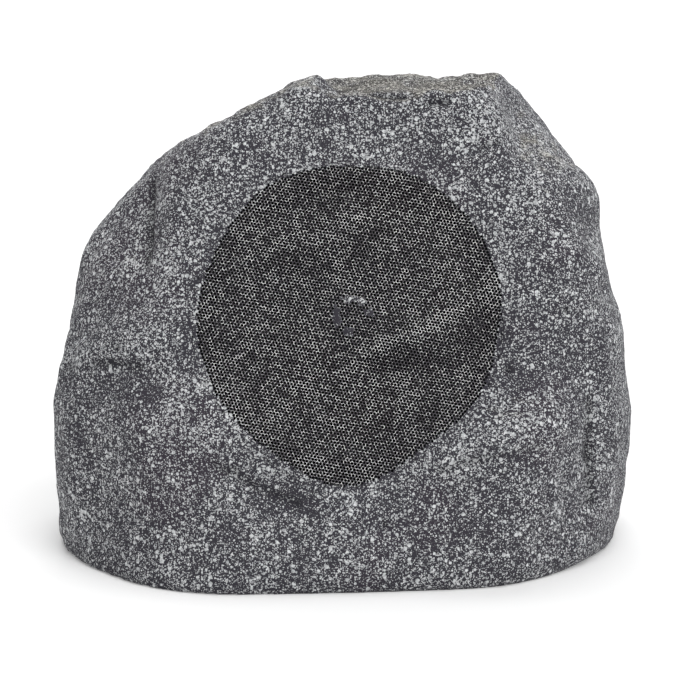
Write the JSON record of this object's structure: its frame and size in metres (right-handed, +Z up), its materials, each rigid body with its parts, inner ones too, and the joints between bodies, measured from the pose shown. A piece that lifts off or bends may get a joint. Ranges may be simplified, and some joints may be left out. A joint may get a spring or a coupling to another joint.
{
  "type": "rock shaped garden speaker",
  "caption": "Outdoor loudspeaker in a hollow moulded boulder, with a coaxial driver behind a perforated front grille, a flat base and a cable gland at the rear.",
  "frame": {"origin": "on the ground under the middle of the base", "axes": "+Z up, -Y out of the grilled front, +X to the right seen from the front"},
  "size_m": [0.3634, 0.2935, 0.292],
  "materials": {
    "rock_paint": "moulded resin with speckled stone paint",
    "grille_paint": "perforated sheet with speckled stone paint",
    "base_plastic": "black moulded",
    "black_plastic": "black moulded",
    "seal_rubber": "soft",
    "screw_steel": "plated",
    "basket_paint": "black enamel",
    "cone_paper": "coated black pulp",
    "former_foil": "bare",
    "coil_wire": "enamelled copper",
    "spider_cloth": "resin treated weave",
    "pole_steel": "zinc plated",
    "ferrite": "sintered",
    "dome_cloth": "coated silk",
    "board_laminate": "brown laminate",
    "capacitor_case": "dipped",
    "resistor_body": "cement",
    "terminal_plastic": "green moulded",
    "lead_jacket": "flexible",
    "wadding": "loose polyester fibre"
  },
  "bodies": {
    "enclosure": {"rock_shell": "rock_paint", "base_plate": "base_plastic", "base_gasket": "seal_rubber", "base_screws": "screw_steel", "grille": "grille_paint", "grille_seal": "seal_rubber", "woofer_gasket": "seal_rubber", "woofer_basket": "basket_paint", "woofer_screws": "screw_steel", "woofer_surround": "seal_rubber", "spider": "spider_cloth", "top_plate": "pole_steel", "magnet": "ferrite", "pole_yoke": "pole_steel", "terminal_strip": "black_plastic", "tweeter_bridge": "black_plastic", "bridge_screws": "screw_steel", "tweeter_cup": "pole_steel", "tweeter_magnet": "ferrite", "tweeter_pole_plate": "pole_steel", "tweeter_dome": "dome_cloth", "tweeter_faceplate": "black_plastic", "crossover_posts": "base_plastic", "crossover_board": "board_laminate", "crossover_screws": "screw_steel", "inductor_bobbin": "black_plastic", "inductor_coil": "coil_wire", "tweeter_capacitor": "capacitor_case", "crossover_resistor": "resistor_body", "terminal_block": "terminal_plastic", "driver_lead": "lead_jacket", "damping_pad": "wadding", "gland_washer": "seal_rubber", "gland_body": "black_plastic", "gland_locknut": "black_plastic", "gland_seal": "seal_rubber", "gland_cap": "black_plastic"},
    "cone": {"woofer_cone": "cone_paper", "dust_cap": "cone_paper", "voice_coil_former": "former_foil", "voice_coil": "coil_wire"}
  },
  "joints": [
    {"name": "cone_travel", "type": "slide", "parent": "enclosure", "child": "cone", "axis": [0, -0.9563, 0.2924], "range_m": [-0.003, 0.003], "stiffness_N_per_m": 1500, "deforming": ["woofer_surround", "spider"]}
  ]
}
